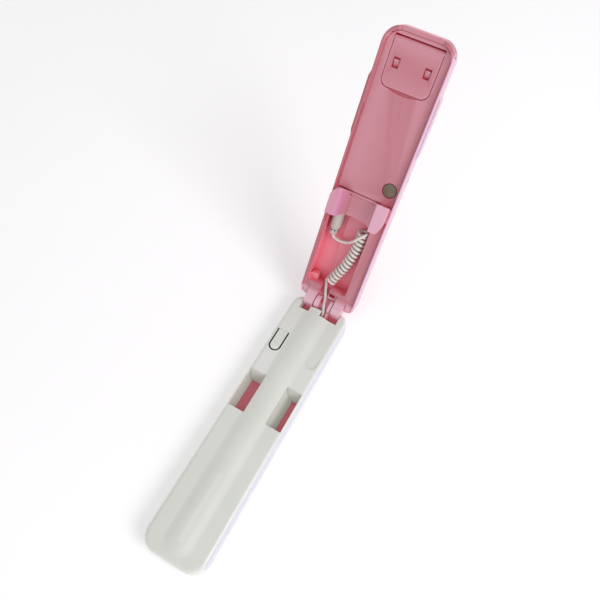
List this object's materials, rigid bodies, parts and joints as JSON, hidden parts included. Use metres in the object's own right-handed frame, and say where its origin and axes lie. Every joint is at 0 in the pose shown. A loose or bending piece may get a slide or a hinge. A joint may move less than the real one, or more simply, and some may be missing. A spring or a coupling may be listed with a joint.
{
  "type": "folding selfie stick",
  "caption": "Pocket selfie stick: a flat handle with a telescopic rod and shutter button, hinged to a flat phone holder with flip-up stop, sliding jaw and curly lead.",
  "frame": {"origin": "centre of the handle's flat back", "axes": "+Y along the handle towards the hinge, +Z out of the handle's face, X across the width"},
  "size_m": [0.0374, 0.2484, 0.1452],
  "materials": {
    "white_plastic": "moulded, satin gloss",
    "pink_plastic": "moulded, satin gloss",
    "steel": "polished stainless",
    "nylon": "natural nylon",
    "board": "green solder mask",
    "black_plastic": "moulded black",
    "magnet_plating": "dull nickel plating",
    "plug_metal": "plated contacts",
    "plug_plastic": "grey, moulded",
    "cord_jacket": "soft white jacket"
  },
  "bodies": {
    "handle": {"front_shell": "white_plastic", "back_cover": "pink_plastic", "cover_screws": "steel", "button_board": "board", "tact_switch": "black_plastic", "board_chips": "black_plastic", "board_screws": "steel", "keeper_plate": "steel", "rod_tube_1": "steel", "rod_end_plug": "nylon", "rod_front_clamp": "nylon", "rod_rear_clamp": "nylon"},
    "button": {"shutter_button": "white_plastic"},
    "rod_2": {"rod_tube_2": "steel", "rod_bush_2": "nylon"},
    "rod_3": {"rod_tube_3": "steel", "rod_bush_3": "nylon"},
    "rod_4": {"rod_tube_4": "steel", "rod_bush_4": "nylon"},
    "rod_tip": {"rod_tube_5": "steel", "rod_bush_5": "nylon", "hinge_yoke": "pink_plastic", "yoke_pins": "steel", "hinge_pin": "steel", "hinge_washers": "steel"},
    "holder": {"holder_tray": "pink_plastic", "holder_panel": "pink_plastic", "magnet": "magnet_plating", "flap_pin": "steel", "panel_pin": "steel", "plug_body": "plug_plastic", "plug_relief": "plug_plastic", "plug_contacts": "plug_metal", "plug_insulators": "black_plastic", "plug_lead": "cord_jacket", "curly_coil": "cord_jacket", "hinge_lead": "cord_jacket"},
    "flap": {"flap": "pink_plastic"},
    "jaw": {"jaw": "pink_plastic"}
  },
  "joints": [
    {"name": "shutter_press", "type": "hinge", "parent": "handle", "child": "button", "pos_m": [-0.0124, 0.0542, 0.01005], "axis": [1, 0, 0], "range_deg": [0, 3.2], "stiffness_Nm_per_rad": 0.25},
    {"name": "rod_slide_2", "type": "slide", "parent": "handle", "child": "rod_2", "axis": [0, 1, 0], "range_m": [0, 0.123]},
    {"name": "rod_slide_3", "type": "slide", "parent": "rod_2", "child": "rod_3", "axis": [0, 1, 0], "range_m": [0, 0.123]},
    {"name": "rod_slide_4", "type": "slide", "parent": "rod_3", "child": "rod_4", "axis": [0, 1, 0], "range_m": [0, 0.123]},
    {"name": "rod_slide_5", "type": "slide", "parent": "rod_4", "child": "rod_tip", "axis": [0, 1, 0], "range_m": [0, 0.123]},
    {"name": "holder_fold", "type": "hinge", "parent": "rod_tip", "child": "holder", "pos_m": [0, 0.081, 0.011], "axis": [-1, 0, 0], "range_deg": [-120, 60], "deforming": ["hinge_lead"]},
    {"name": "flap_flip", "type": "hinge", "parent": "holder", "child": "flap", "pos_m": [0, 0.15916, 0.13908], "axis": [-1, 0, 0], "range_deg": [0, 95]},
    {"name": "jaw_slide", "type": "slide", "parent": "holder", "child": "jaw", "axis": [0, 0.5, 0.866], "range_m": [0, 0.03]}
  ]
}
